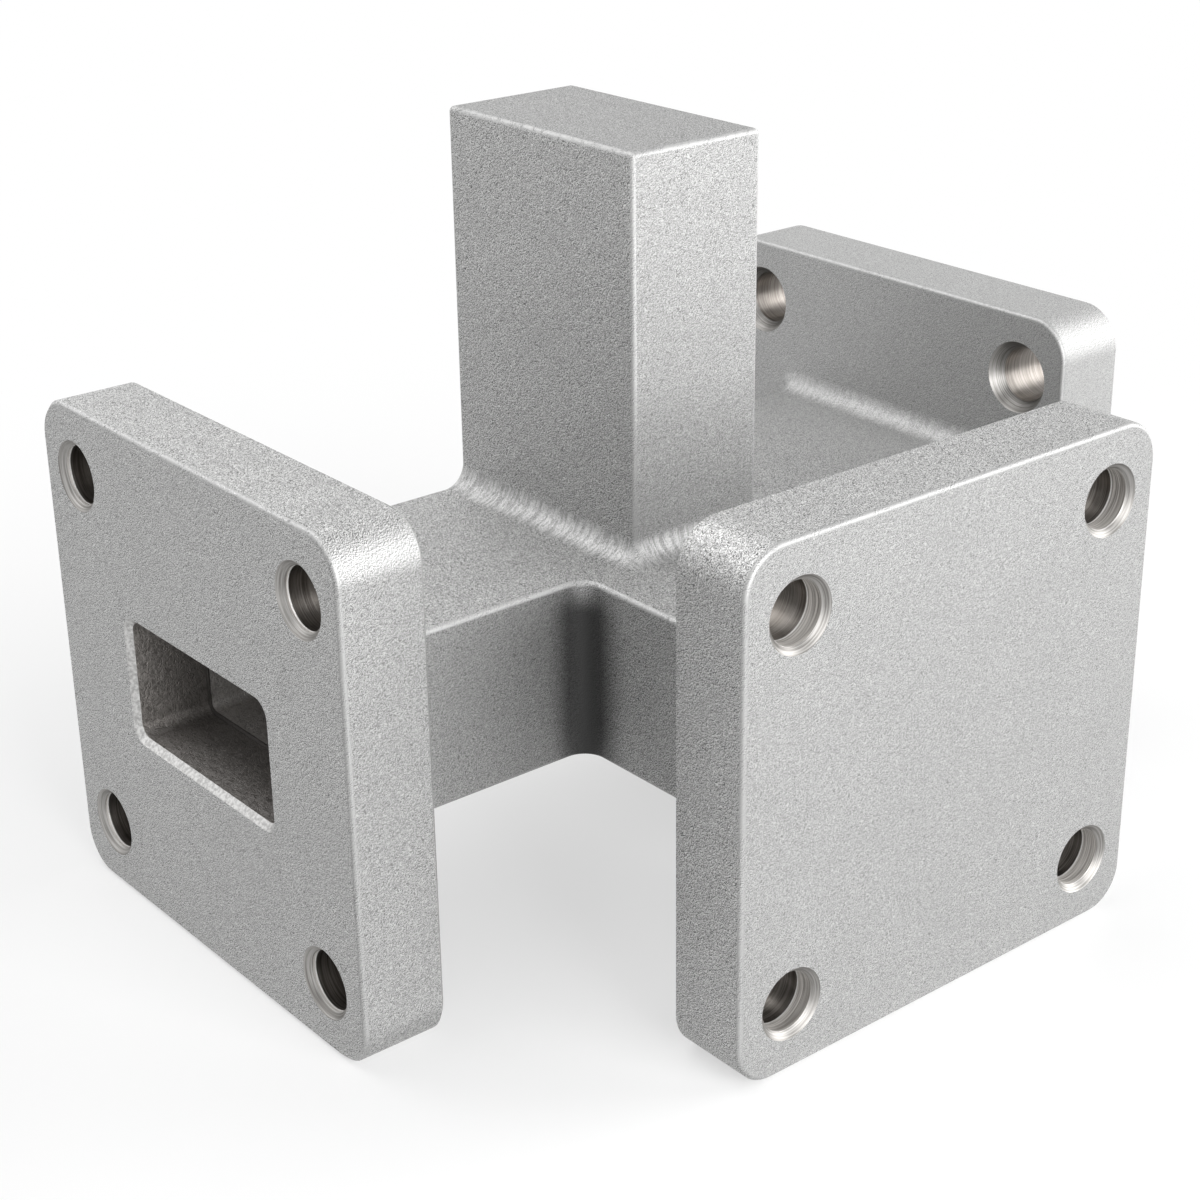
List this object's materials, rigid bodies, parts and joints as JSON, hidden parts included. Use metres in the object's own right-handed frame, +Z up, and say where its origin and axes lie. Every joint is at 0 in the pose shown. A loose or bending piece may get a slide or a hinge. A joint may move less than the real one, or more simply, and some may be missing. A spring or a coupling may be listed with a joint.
{
  "type": "waveguide power divider",
  "caption": "Cast aluminium waveguide tee with square bolt flanges on its run and side arm and a closed rectangular guide stub rising from the junction.",
  "frame": {"origin": "middle of the bounding box in plan, at the level that the three flanges stand on", "axes": "+Z up along the stub, X along the main run with the front port facing -X, -Y out of the side arm's flange"},
  "size_m": [0.0636, 0.0484, 0.0484],
  "materials": {
    "casting": "shot-blasted casting, light grey, fine grain",
    "post": "turned",
    "absorber": "matt, iron-filled resin"
  },
  "bodies": {
    "root": {"divider_body": "casting", "matching_post": "post", "stub_load": "absorber"}
  },
  "joints": []
}
